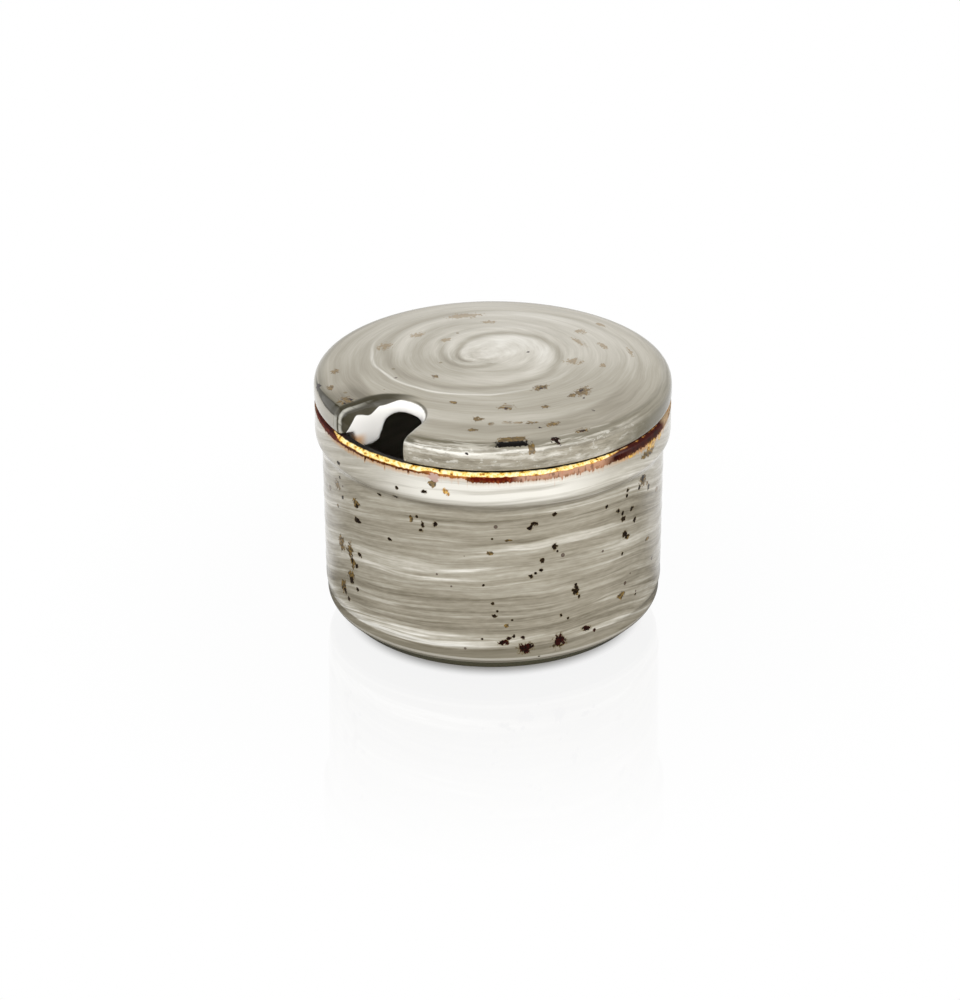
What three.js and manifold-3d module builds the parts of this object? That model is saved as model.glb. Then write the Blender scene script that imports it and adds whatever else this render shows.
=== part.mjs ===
// Lidded condiment pot: a turned porcelain pot with a flared collar, and a loose domed lid.
// The lid is held in the mouth by a ring on its underside, and a notch in its edge leaves room for a spoon.
// Millimetres, +Z up. The origin is the centre of the foot, on the table. The notch faces -Y.
import * as THREE from "three";
import { mergeVertices } from "three/addons/utils/BufferGeometryUtils.js";
import Module from "manifold-3d";

// Pot: overall form
const POT_HEIGHT = 59.4; // table to the top of the lip
const RIM_RADIUS = 44.9; // outside of the collar
const WALL = 3.8; // thickness of the wall and of the collar
const LIP_RADIUS = 1.2; // rounding on both sides of the lip
const COLLAR_HEIGHT = 9.9; // top of the lip down to the middle of the step
const COLLAR_STEP = 1.7; // how far the collar stands out from the wall
const COLLAR_BLEND = 3.8; // height of the soft step between wall and collar
const WALL_TAPER = 0.4; // how much narrower the wall is at its lower end

// Pot: heel, foot and floor
const BAND_TOP = 11.0; // height at which the wall steps in to the narrow band above the heel
const BAND_STEP = 0.35; // how far the band lies inside the wall
const BAND_BLEND = 2.2; // height of that soft step
const HEEL_HEIGHT = 6.4; // lower edge of the band, where the bevel begins
const HEEL_ROUND = 1.1; // rounding of that edge, along both faces
const BEVEL_HEIGHT = 2.3; // lower edge of the bevel
const BEVEL_INSET = 4.2; // lower edge of the bevel, inside the band
const FOOT_INSET = 4.0; // outside of the foot ring, inside the bevel's lower edge
const FOOT_WIDTH = 3.6; // flat ring that stands on the table
const FOOT_RECESS = 1.8; // depth of the hollow inside the foot ring
const FLOOR = 4.0; // thickness of the floor above that hollow
const INNER_CORNER = 7; // rounding between the floor and the wall, inside

// Lid
const LID_OVERHANG = 0.1; // lid's edge outside the collar
const LID_HEIGHT = 8.5; // seat to the crown of the dome
const LID_EDGE = 4.1; // height of the upright edge
const LID_SHOULDER = 2.7; // rounding between the edge and the dome
const LID_WALL = 4.0; // thickness of the dome
const LID_ARRIS = 0.8; // rounding of the lower outside edge
const SEAT_GAP = 0.3; // lid's seat above the lip
const RING_CLEARANCE = 0.6; // locating ring inside the mouth
const RING_DEPTH = 4.0; // locating ring below the seat
const RING_TIP = 2.5; // rounding of the ring's lower end
const RING_DRAFT = 0.9; // how much the ring narrows from the seat to its tip
const RING_ROOT = 5.8; // how far the ring's inner side sweeps in to meet the dome

// Spoon notch in the lid's edge
const NOTCH_RADIUS = 8.6; // round inner end
const NOTCH_INSET = 7.4; // centre of the round end, inside the lid's edge
const NOTCH_FLARE = THREE.MathUtils.degToRad(14); // each side opens outwards by this angle
const NOTCH_CORNER = 3.0; // rounding where the sides meet the lid's edge
const NOTCH_LIP = 3.6; // rounding of the upper edge of the notch
const NOTCH_LIP_CREST = 0.3; // crest of that rounding above the dome, which it meets at an angle

// Facets
const TURN_SEGMENTS = 72;
const BEND_STEPS = 5;
const LIP_STEPS = 4;
const NOTCH_STEPS = 14;
const CORNER_STEPS = 5;

// Places that follow from the sizes above
const WALL_RADIUS = RIM_RADIUS - COLLAR_STEP;
const WALL_FOOT_RADIUS = WALL_RADIUS - WALL_TAPER;
const BAND_RADIUS = WALL_FOOT_RADIUS - BAND_STEP;
const BEVEL_RADIUS = BAND_RADIUS - BEVEL_INSET;
const FOOT_RADIUS = BEVEL_RADIUS - FOOT_INSET;
const MOUTH_RADIUS = RIM_RADIUS - WALL;
const FLOOR_TOP = FOOT_RECESS + FLOOR;
const LID_RADIUS = RIM_RADIUS + LID_OVERHANG;
const LID_SEAT_HEIGHT = POT_HEIGHT + SEAT_GAP;
const RING_RADIUS = MOUTH_RADIUS - RING_CLEARANCE;
const QUARTER = Math.PI / 2;

const point = (x, y) => new THREE.Vector2(x, y);

// Points of a circular arc, both ends included.
function arc(centreX, centreY, radius, from, to, steps = BEND_STEPS) {
  return new THREE.EllipseCurve(centreX, centreY, radius, radius, from, to, to < from).getPoints(steps);
}

// Points of a single bend between two ends, drawn towards a third point.
function bend(start, towards, end, steps = BEND_STEPS) {
  return new THREE.QuadraticBezierCurve(start, towards, end).getPoints(steps);
}

// Points of an S-shaped step between two ends, upright at both.
function step(start, end, steps = 2 * BEND_STEPS - 2) {
  const middle = (start.y + end.y) / 2;
  const curve = new THREE.CubicBezierCurve(start, point(start.x, middle), point(end.x, middle), end);
  return curve.getPoints(steps);
}

// A profile of radius and height, turned about the Z axis. Points that repeat are dropped.
function turned(profile) {
  const points = profile.filter((p, i) => i === 0 || p.distanceTo(profile[i - 1]) > 1e-4);
  return new THREE.LatheGeometry(points, TURN_SEGMENTS).rotateX(QUARTER);
}

// Half section of the pot, from the middle of its underside round to the middle of its floor.
function potProfile() {
  const footInner = FOOT_RADIUS - FOOT_WIDTH;
  const stepMiddle = POT_HEIGHT - COLLAR_HEIGHT;
  const stepLow = stepMiddle - COLLAR_BLEND / 2;
  const stepHigh = stepMiddle + COLLAR_BLEND / 2;
  const lipLow = POT_HEIGHT - LIP_RADIUS;
  const innerRadius = WALL_RADIUS - WALL;
  const innerFoot = WALL_FOOT_RADIUS - WALL;
  const footEdge = point(FOOT_RADIUS, 0);
  const bevelLow = point(BEVEL_RADIUS, BEVEL_HEIGHT);
  const heel = point(BAND_RADIUS, HEEL_HEIGHT);
  const heelAbove = point(BAND_RADIUS, HEEL_HEIGHT + HEEL_ROUND);
  const heelBelow = heel.clone().lerp(bevelLow, HEEL_ROUND / heel.distanceTo(bevelLow));
  const underBevel = point(FOOT_RADIUS + 0.12 * FOOT_INSET, 0.7 * BEVEL_HEIGHT);
  return [
    point(0, FOOT_RECESS),
    point(footInner - FOOT_RECESS, FOOT_RECESS),
    point(footInner, 0),
    ...bend(footEdge, underBevel, bevelLow, LIP_STEPS),
    ...bend(heelBelow, heel, heelAbove, LIP_STEPS),
    ...step(point(BAND_RADIUS, BAND_TOP - BAND_BLEND), point(WALL_FOOT_RADIUS, BAND_TOP), LIP_STEPS),
    ...step(point(WALL_RADIUS, stepLow), point(RIM_RADIUS, stepHigh)),
    ...arc(RIM_RADIUS - LIP_RADIUS, lipLow, LIP_RADIUS, 0, QUARTER, LIP_STEPS),
    ...arc(MOUTH_RADIUS + LIP_RADIUS, lipLow, LIP_RADIUS, QUARTER, Math.PI, LIP_STEPS),
    ...step(point(MOUTH_RADIUS, stepHigh), point(innerRadius, stepLow)),
    ...arc(innerFoot - INNER_CORNER, FLOOR_TOP + INNER_CORNER, INNER_CORNER, 0, -QUARTER),
    point(0, FLOOR_TOP),
  ];
}

// The dome is part of a sphere that runs smoothly into the rounded shoulder.
function domeRadius() {
  const across = LID_RADIUS - LID_SHOULDER;
  const rise = LID_HEIGHT - LID_EDGE;
  return (across ** 2 + rise ** 2 - LID_SHOULDER ** 2) / (2 * (rise - LID_SHOULDER));
}

// Height of the dome above the seat, at a distance from the axis.
function domeHeight(radius) {
  const sphere = domeRadius();
  return LID_HEIGHT - sphere + Math.sqrt(sphere ** 2 - radius ** 2);
}

// Half section of the lid above its seat, from the middle of its underside round to the crown.
function lidProfile() {
  const sphere = domeRadius();
  const sphereCentre = LID_HEIGHT - sphere;
  const shoulderX = LID_RADIUS - LID_SHOULDER;
  const shoulderEnd = Math.atan2(LID_EDGE - sphereCentre, shoulderX);
  const tipX = RING_RADIUS - RING_DRAFT - RING_TIP;
  const tipY = RING_TIP - RING_DEPTH;
  const tipInner = point(tipX - RING_TIP, tipY);
  const under = sphere - LID_WALL;
  const rootX = tipInner.x - RING_ROOT;
  const rootAngle = Math.acos(rootX / under);
  const root = point(rootX, sphereCentre + under * Math.sin(rootAngle));
  const sweep = new THREE.CubicBezierCurve(
    root,
    point(root.x + 0.55 * RING_ROOT, root.y),
    point(tipInner.x - 0.12 * RING_ROOT, 0.55 * root.y),
    tipInner,
  );
  return [
    ...arc(0, sphereCentre, under, QUARTER, rootAngle),
    ...sweep.getPoints(2 * BEND_STEPS),
    ...arc(tipX, tipY, RING_TIP, -Math.PI, 0, 2 * LIP_STEPS),
    point(RING_RADIUS, 0),
    ...arc(LID_RADIUS - LID_ARRIS, LID_ARRIS, LID_ARRIS, -QUARTER, 0, LIP_STEPS),
    ...arc(shoulderX, LID_EDGE, LID_SHOULDER, 0, shoulderEnd),
    ...arc(0, sphereCentre, sphere, shoulderEnd, QUARTER),
  ];
}

// Plan of the spoon notch, open towards -Y: a round end, flared sides, and corners eased into the lid's edge.
function notchPlan() {
  const centreY = NOTCH_INSET - LID_RADIUS;
  const outside = -LID_RADIUS - NOTCH_LIP - NOTCH_RADIUS;
  const sideStart = point(
    NOTCH_RADIUS * Math.cos(NOTCH_FLARE),
    centreY + NOTCH_RADIUS * Math.sin(NOTCH_FLARE),
  );
  const sideAt = (y) => point(sideStart.x + (sideStart.y - y) * Math.tan(NOTCH_FLARE), y);
  const edgeY = -Math.sqrt(LID_RADIUS ** 2 - sideStart.x ** 2);
  const corner = sideAt(edgeY);
  const eased = sideAt(edgeY + NOTCH_CORNER);
  const cornerEnd = point(corner.x + NOTCH_CORNER, edgeY);
  const right = [...bend(eased, corner, cornerEnd, CORNER_STEPS), point(cornerEnd.x, outside)];
  const left = right.map((p) => point(-p.x, p.y));
  const roundEnd = arc(0, centreY, NOTCH_RADIUS, NOTCH_FLARE, Math.PI - NOTCH_FLARE, NOTCH_STEPS);
  return new THREE.Shape([...right.reverse(), ...roundEnd, ...left]);
}

// The notch as a block that flares out at its top, so that cutting it away rounds the edge of the dome.
function notchBlock() {
  const lipRadius = LID_RADIUS - NOTCH_INSET - NOTCH_RADIUS - NOTCH_LIP;
  const crest = domeHeight(lipRadius) + NOTCH_LIP_CREST;
  const low = -RING_DEPTH - NOTCH_LIP;
  const block = new THREE.ExtrudeGeometry(notchPlan(), {
    depth: crest - NOTCH_LIP - low,
    bevelEnabled: true,
    bevelThickness: NOTCH_LIP,
    bevelSize: -NOTCH_LIP,
    bevelOffset: NOTCH_LIP,
    bevelSegments: BEND_STEPS,
  });
  return block.translate(0, 0, low);
}

const wasm = await Module();
wasm.setup();

// A closed geometry as a solid that can be cut.
function solidOf(geometry) {
  const bare = geometry.clone();
  bare.deleteAttribute("normal");
  bare.deleteAttribute("uv");
  const merged = mergeVertices(bare, 1e-4);
  return new wasm.Manifold(
    new wasm.Mesh({
      numProp: 3,
      vertProperties: merged.attributes.position.array,
      triVerts: new Uint32Array(merged.index.array),
    }),
  );
}

// A solid back as a geometry that can be drawn.
function geometryOf(solid) {
  const mesh = solid.getMesh();
  const geometry = new THREE.BufferGeometry();
  geometry.setAttribute("position", new THREE.BufferAttribute(mesh.vertProperties, mesh.numProp));
  geometry.setIndex(new THREE.BufferAttribute(mesh.triVerts, 1));
  geometry.computeVertexNormals();
  return geometry;
}

function makePot() {
  const glaze = new THREE.MeshStandardMaterial({ color: "#a39c92", roughness: 0.22, metalness: 0 });
  const pot = new THREE.Mesh(turned(potProfile()), glaze);
  pot.name = "pot";
  return pot;
}

function makeLid() {
  const glaze = new THREE.MeshStandardMaterial({ color: "#b0aaa1", roughness: 0.18, metalness: 0 });
  const whole = solidOf(turned(lidProfile()));
  const lid = new THREE.Mesh(geometryOf(whole.subtract(solidOf(notchBlock()))), glaze);
  lid.name = "lid";
  lid.position.z = LID_SEAT_HEIGHT;
  return lid;
}

const condimentPot = new THREE.Group();
condimentPot.add(makePot(), makeLid());

export default condimentPot;
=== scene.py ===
"""Glazed condiment pot with a loose, notched lid, standing on a white table.

Lengths are written in millimetres and angles in degrees, unless a comment says otherwise. The meshes are in
metres, +Z up, with the foot's centre at the origin and the lid's notch towards -Y.
"""

import math

import bmesh
import bpy
from mathutils import Matrix, Vector


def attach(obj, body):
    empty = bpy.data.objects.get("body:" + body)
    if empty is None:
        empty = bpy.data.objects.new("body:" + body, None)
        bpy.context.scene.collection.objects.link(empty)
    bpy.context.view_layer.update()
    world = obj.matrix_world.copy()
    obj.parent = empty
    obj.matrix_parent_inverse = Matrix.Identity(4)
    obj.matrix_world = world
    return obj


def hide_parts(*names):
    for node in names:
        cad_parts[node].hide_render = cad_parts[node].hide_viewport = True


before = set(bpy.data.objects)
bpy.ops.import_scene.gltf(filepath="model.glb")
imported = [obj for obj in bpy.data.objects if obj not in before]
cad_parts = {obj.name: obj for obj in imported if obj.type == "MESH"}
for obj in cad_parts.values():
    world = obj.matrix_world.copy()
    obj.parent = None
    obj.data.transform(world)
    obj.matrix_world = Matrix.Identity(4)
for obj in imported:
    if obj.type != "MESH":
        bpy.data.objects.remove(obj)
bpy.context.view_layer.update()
scene = bpy.context.scene

MM = 0.001
FULL_TURN = 2 * math.pi
MERGE_DISTANCE = 1e-6  # metres
ROUNDING_STEPS = 7

# Pot: the corners of its half section, from the middle of the underside round to the middle of the floor.
# Each row is the radius, the height and the length by which the corner is rounded off.
POT_SEGMENTS = 280
POT_ROW = 0.75
POT_TOP = 59.4
COLLAR_RADIUS = 44.9
POT_SECTION = (
    (0, 1.8, 0),
    (28.85, 1.8, 0.9),
    (30.65, 0, 0.7),
    (34.25, 0, 0.6),
    (34.73, 1.61, 1.3),
    (38.25, 2.3, 0.5),
    (42.45, 6.4, 1.1),
    (42.45, 9.36, 0.55),
    (42.8, 10.44, 0.55),
    (43.2, 48.74, 1.13),
    (COLLAR_RADIUS, 50.26, 1.13),
    (COLLAR_RADIUS, POT_TOP, 1.2),
    (41.1, POT_TOP, 2.5),
    (41.1, 50.26, 1.13),
    (39.4, 48.74, 1.13),
    (39.0, 5.8, 7.0),
    (0, 5.8, 0),
)
THROWING_RINGS = ((3.7, 0.028, 0.4), (2.3, 0.018, 2.1), (6.1, 0.03, 4.0))  # spacing, depth, start
RINGED_RADIUS = 42.2  # the rings lie outside this radius and between these heights, and fade out at the ends
RINGED_HEIGHTS = (7, 58)
RINGED_FADES = (5, 3)
RING_DRIFTS = (0.9, 0.5)

# Lid: heights are above its seat
SEAT = 59.7
LID_SEGMENTS = 256
LID_RADIUS = 45.0
LID_CROWN = 8.5
LID_DOME = 530.0  # radius of the sphere that the dome is part of
LID_THICKNESS = 4.0
LID_SHOULDER = 2.48
LID_GRAIN = 0.46  # size of the lid's finished faces
LID_ROW = 1.6
CROWN_STEPS = 12
HOLLOW_STEPS = 9
LID_SOFTENING = 10
RING_SECTION = (
    (LID_RADIUS, 0, 0.8),
    (40.5, 0, 0.3),
    (39.7, -4.9, 2.4),
    (33.7, -4.9, 2.4),
)
RING_ROOT = 31.8
RING_ROOT_ROUND = 4.0
DOME_REACH = 42.2  # the dome is true up to here
UPRIGHT_RADIUS = 44.0
UPRIGHT_HEIGHTS = (1.0, 4.0)
UPRIGHT_FADE = 0.6
DOME_FACING = 0.5  # least upward share of the normal, here and on the edge and under the brushed relief
EDGE_FACING = -0.3
RELIEF_FACING = 0.3

# Spoon notch in the lid's edge
NOTCH_CENTRE = -37.6
NOTCH_RADIUS = 8.6
NOTCH_FLARE = math.radians(14)
NOTCH_LIP = 3.6
NOTCH_CREST = 8.19
NOTCH_MOUTH = -40.62  # where the widest outline meets the lid's edge
NOTCH_BOTTOM = -8.0
NOTCH_STEPS = 28
NOTCH_LIP_STEPS = 9
NOTCH_CORNER = 0.25
NOTCH_CORNER_STEPS = 8
CUTTER_SIDE = 22.0
CUTTER_END = -60.0
LIP_SOFTENING = 16
SOFT_LIP = (0.5, 4.5)  # above this height and within this distance of the notch's wall
LIP_CLEAR = (3.0, 5.0)  # the dome and the edge are true from this far off the notch's wall

# Brushed spiral on the lid: a dark groove, with a second, shorter one between its turns, and a bright ridge and
# a light band beside it. Places between the turns are shares of the pitch.
SPIRAL_CENTRE = (-5.25, 5.5)
SPIRAL_PITCH = 20.9
SPIRAL_START = 0.159
SPIRAL_EVEN = (26.0, 44.0)  # between these radii the strokes' centre drifts to the lid's axis
SPIRAL_EYE = (-5.3, 0.5)  # the strokes are drawn towards this point over the given distance
EYE_SPREAD = 13.0
EYE_SHIFT = 6.3
SECOND_GROOVE = 0.31
GROOVE_WIDTH = 2.2
BRIGHT_RIDGE = 0.18
RIDGE_WIDTH = 0.7
LIGHT_BAND = 0.82
LIGHT_BAND_WIDTH = 4.2
GROOVE_RELIEF = (0.05, 1.1)  # height and width of what can be felt of it
RIDGE_RELIEF = (0.05, 0.8)
RIPPLE_RELIEF = 0.01
RIPPLES = 6  # to each turn

# Camera, fitted to the photograph's frame of 960 by 1000. Its distances are in metres.
CAMERA_AZIMUTH = math.radians(44)
CAMERA_ELEVATION = math.radians(26.5)
CAMERA_DISTANCE = 1.037
CAMERA_TARGET_HEIGHT = 0.02994
CAMERA_SIDE = -0.00333
CAMERA_ROLL = math.radians(-0.23)
CAMERA_LENS = 146.4
CAMERA_SENSOR = 36

# Lamps and table, in metres
LAMP_DISTANCE = 0.8
LAMP_AIM = 0.035
TABLE_HALF = 3.0

# Gloss and fine relief of the glaze
GLAZE_IOR = 1.36
MARK_ROUGHNESS = 0.2
POT_ROUGHNESS = 0.12
LID_ROUGHNESS = 0.11
BARE_ROUGHNESS = 0.8
BAND_ROUGHNESS = 0.65  # these two are added to the glaze's own
LIP_ROUGHNESS = 0.4
BUMP_DEPTH = 0.2
POT_BUMP = 0.12
LID_BUMP = 0.1


class Section:
    """Half section of a turned piece, drawn as a wire in the XZ plane and then spun about the Z axis."""

    def __init__(self, radius, height):
        self.mesh = bmesh.new()
        self.tip = self.mesh.verts.new((radius * MM, 0, height * MM))
        self.corners = []

    def line(self, radius, height, rounding=0):
        self.tip = bmesh.ops.extrude_vert_indiv(self.mesh, verts=[self.tip])["verts"][0]
        self.tip.co = (radius * MM, 0, height * MM)
        self.round_off(rounding)

    def arc(self, centre_height, angle, steps, rounding=0):
        swept = bmesh.ops.spin(
            self.mesh, geom=[self.tip], cent=(0, 0, centre_height * MM),
            axis=(0, 1, 0), angle=angle, steps=steps,
        )
        self.tip = swept["geom_last"][0]
        self.round_off(rounding)

    def round_off(self, rounding):
        if rounding:
            self.corners.append((self.tip, rounding))

    def turn(self, segments, row):
        for corner, rounding in self.corners:
            bmesh.ops.bevel(
                self.mesh, geom=[corner], offset=rounding * MM, offset_type="OFFSET",
                segments=ROUNDING_STEPS, profile=0.5, affect="VERTICES", material=-1,
            )
        for edge in self.mesh.edges[:]:
            cuts = int(edge.calc_length() / (row * MM))
            if cuts:
                bmesh.ops.subdivide_edges(self.mesh, edges=[edge], cuts=cuts)
        bmesh.ops.spin(
            self.mesh, geom=self.mesh.verts[:] + self.mesh.edges[:], cent=(0, 0, 0),
            axis=(0, 0, 1), angle=FULL_TURN, steps=segments, use_merge=True,
        )
        bmesh.ops.remove_doubles(self.mesh, verts=self.mesh.verts[:], dist=MERGE_DISTANCE)
        bmesh.ops.recalc_face_normals(self.mesh, faces=self.mesh.faces[:])
        return self.mesh


def new_piece(name, mesh):
    """An object at the origin, made from a finished bmesh."""
    data = bpy.data.meshes.new(name)
    mesh.to_mesh(data)
    mesh.free()
    data.shade_smooth()
    piece = bpy.data.objects.new(name, data)
    scene.collection.objects.link(piece)
    return piece


def smooth_share(value, low, high):
    """0 below low, 1 above high, and an even S between them."""
    share = min(max((value - low) / (high - low), 0), 1)
    return share * share * (3 - 2 * share)


def make_pot():
    section = Section(*POT_SECTION[0][:2])
    for radius, height, rounding in POT_SECTION[1:]:
        section.line(radius, height, rounding)
    mesh = section.turn(POT_SEGMENTS, POT_ROW)
    low, high = RINGED_HEIGHTS
    low_fade, high_fade = RINGED_FADES
    for vert in mesh.verts:
        across = Vector((vert.co.x, vert.co.y, 0))
        height = vert.co.z / MM
        if across.length > RINGED_RADIUS * MM and low < height < high:
            lift = ring_relief(math.atan2(vert.co.y, vert.co.x), height)
            lift *= smooth_share(height - low, 0, low_fade) * smooth_share(high - height, 0, high_fade)
            vert.co += across.normalized() * lift * MM
    return new_piece("glazed_pot", mesh)


def ring_relief(angle, height):
    """How far the throwing rings stand out. They wander a little on the way round."""
    lift = 0
    for spacing, depth, start in THROWING_RINGS:
        drift = RING_DRIFTS[0] * math.sin(angle + start) + RING_DRIFTS[1] * math.sin(2 * angle - start)
        lift += depth * math.sin(FULL_TURN * height / spacing + drift + start)
    return lift


def dome_height(radius, sphere=LID_DOME):
    """Height of the dome above the seat."""
    return LID_CROWN - LID_DOME + math.sqrt(sphere**2 - radius**2)


def make_whole_lid():
    """The lid before its notch is cut: crown, shoulder, seat, locating ring and hollow."""
    dome_centre = SEAT + LID_CROWN - LID_DOME
    inner_dome = LID_DOME - LID_THICKNESS
    section = Section(0, SEAT + LID_CROWN)
    section.arc(dome_centre, math.asin(LID_RADIUS / LID_DOME), CROWN_STEPS, LID_SHOULDER)
    for radius, height, rounding in RING_SECTION:
        section.line(radius, SEAT + height, rounding)
    section.line(RING_ROOT, SEAT + dome_height(RING_ROOT, inner_dome), RING_ROOT_ROUND)
    section.arc(dome_centre, -math.asin(RING_ROOT / inner_dome), HOLLOW_STEPS)
    section.tip.co.x = 0
    return new_piece("whole_lid", section.turn(LID_SEGMENTS, LID_ROW))


def make_notch_cutter():
    """A block in the shape of the notch, which flares out at its top to leave a rounded lip."""
    cutter = bmesh.new()
    crest = (SEAT + NOTCH_CREST) * MM
    centre = Vector((0, NOTCH_CENTRE * MM, crest))
    tip = cutter.verts.new(centre + Vector((0, (NOTCH_RADIUS + NOTCH_LIP) * MM, 0)))
    swept = bmesh.ops.spin(
        cutter, geom=[tip], cent=centre, axis=(0, 0, 1), angle=NOTCH_FLARE - math.pi / 2, steps=NOTCH_STEPS,
    )
    tip = swept["geom_last"][0]
    side_x = tip.co.x / MM + (tip.co.y / MM - NOTCH_MOUTH) * math.tan(NOTCH_FLARE)
    corner = None
    for x, y in (
        (side_x, NOTCH_MOUTH), (CUTTER_SIDE, NOTCH_MOUTH), (CUTTER_SIDE, CUTTER_END), (0, CUTTER_END),
    ):
        tip = bmesh.ops.extrude_vert_indiv(cutter, verts=[tip])["verts"][0]
        tip.co = (x * MM, y * MM, crest)
        corner = corner or tip
    bmesh.ops.bevel(
        cutter, geom=[corner], offset=NOTCH_CORNER * MM, offset_type="OFFSET",
        segments=NOTCH_CORNER_STEPS, profile=0.5, affect="VERTICES", material=-1,
    )
    bmesh.ops.mirror(cutter, geom=cutter.verts[:] + cutter.edges[:], axis="X", merge_dist=MERGE_DISTANCE)
    face = bmesh.ops.contextual_create(cutter, geom=cutter.edges[:])["faces"][0]
    face.normal_update()
    if face.normal.z > 0:
        face.normal_flip()
    for step in range(NOTCH_LIP_STEPS):
        above = math.pi / 2 * (1 - step / NOTCH_LIP_STEPS)
        below = math.pi / 2 * (1 - (step + 1) / NOTCH_LIP_STEPS)
        bmesh.ops.inset_region(
            cutter, faces=[face], use_boundary=True, use_even_offset=True,
            thickness=NOTCH_LIP * (math.cos(below) - math.cos(above)) * MM,
            depth=NOTCH_LIP * (math.sin(above) - math.sin(below)) * MM,
        )
    face = bmesh.ops.extrude_discrete_faces(cutter, faces=[face])["faces"][0]
    drop = (SEAT + NOTCH_BOTTOM) * MM - face.verts[0].co.z
    bmesh.ops.translate(cutter, verts=face.verts[:], vec=(0, 0, drop))
    bmesh.ops.holes_fill(cutter, edges=[edge for edge in cutter.edges if edge.is_boundary], sides=0)
    bmesh.ops.recalc_face_normals(cutter, faces=cutter.faces[:])
    return new_piece("notch_cutter", cutter)


def notch_distance(x, y):
    """Distance from the notch's upright wall, in plan, positive on the lid's side."""
    side = abs(x)
    rise = y - NOTCH_CENTRE
    if math.atan2(rise, side) > NOTCH_FLARE:
        return math.hypot(side, rise) - NOTCH_RADIUS
    start_x = NOTCH_RADIUS * math.cos(NOTCH_FLARE)
    start_y = NOTCH_RADIUS * math.sin(NOTCH_FLARE)
    return (side - start_x) * math.cos(NOTCH_FLARE) + (rise - start_y) * math.sin(NOTCH_FLARE)


def spiral_phase(x, y):
    """Turns of the brushed spiral at a place on the lid."""
    pull = 1 - smooth_share(math.hypot(x, y), *SPIRAL_EVEN)
    drawn = 1 - smooth_share(math.dist((x, y), SPIRAL_EYE), 0, EYE_SPREAD)
    along, up = x - SPIRAL_CENTRE[0] * pull, y - SPIRAL_CENTRE[1] * pull + EYE_SHIFT * drawn
    return math.hypot(along, up) / SPIRAL_PITCH + math.atan2(along, -up) / FULL_TURN - SPIRAL_START


def spiral_line(phase, place, width):
    """1 on the line at this place between the spiral's turns, falling off over the width to either side."""
    return math.exp(-(((phase - place + 0.5) % 1 - 0.5) * SPIRAL_PITCH / width) ** 2)


def make_lid():
    whole = make_whole_lid()
    cutter = make_notch_cutter()
    cut = whole.modifiers.new("cut_notch", "BOOLEAN")
    cut.operation = "DIFFERENCE"
    cut.solver = "EXACT"
    cut.object = cutter
    grain = whole.modifiers.new("even_grain", "REMESH")
    grain.mode = "VOXEL"
    grain.voxel_size = LID_GRAIN * MM
    graph = bpy.context.evaluated_depsgraph_get()
    mesh = bmesh.new()
    mesh.from_mesh(whole.evaluated_get(graph).to_mesh())
    bpy.data.objects.remove(whole)
    bpy.data.objects.remove(cutter)
    soften(mesh, mesh.verts[:], LID_SOFTENING)
    soften(mesh, [vert for vert in mesh.verts if near_lip(vert.co / MM)], LIP_SOFTENING)
    mesh.normal_update()
    for vert in mesh.verts:
        settle(vert)
    return new_piece("glazed_lid", mesh)


def near_lip(place):
    above, within = SOFT_LIP
    return place.z > SEAT + above and notch_distance(place.x, place.y) < within


def soften(mesh, verts, passes):
    for _ in range(passes):
        bmesh.ops.smooth_vert(
            mesh, verts=verts, factor=0.5, use_axis_x=True, use_axis_y=True, use_axis_z=True,
        )


def settle(vert):
    """Brings a point of the dome or of the upright edge back to its true form, and adds the brushed relief."""
    x, y, height = vert.co.x / MM, vert.co.y / MM, vert.co.z / MM - SEAT
    radius = math.hypot(x, y)
    low, high = UPRIGHT_HEIGHTS
    clear = smooth_share(notch_distance(x, y), *LIP_CLEAR)
    if vert.normal.z > DOME_FACING and radius < DOME_REACH:
        share = clear * smooth_share(DOME_REACH - radius, 0, 1)
        height += share * (dome_height(radius) - height)
    elif vert.normal.z > EDGE_FACING and radius > UPRIGHT_RADIUS and low < height < high:
        share = clear * smooth_share(min(height - low, high - height), 0, UPRIGHT_FADE)
        scale = 1 + share * (LID_RADIUS / radius - 1)
        vert.co.x *= scale
        vert.co.y *= scale
    if vert.normal.z > RELIEF_FACING:
        height += clear * spiral_relief(spiral_phase(x, y))
    vert.co.z = (SEAT + height) * MM


def spiral_relief(phase):
    ridge, ridge_width = RIDGE_RELIEF
    groove, groove_width = GROOVE_RELIEF
    relief = ridge * spiral_line(phase, BRIGHT_RIDGE, ridge_width) - groove * spiral_line(phase, 0, groove_width)
    return relief + RIPPLE_RELIEF * math.sin(FULL_TURN * RIPPLES * phase)


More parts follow.
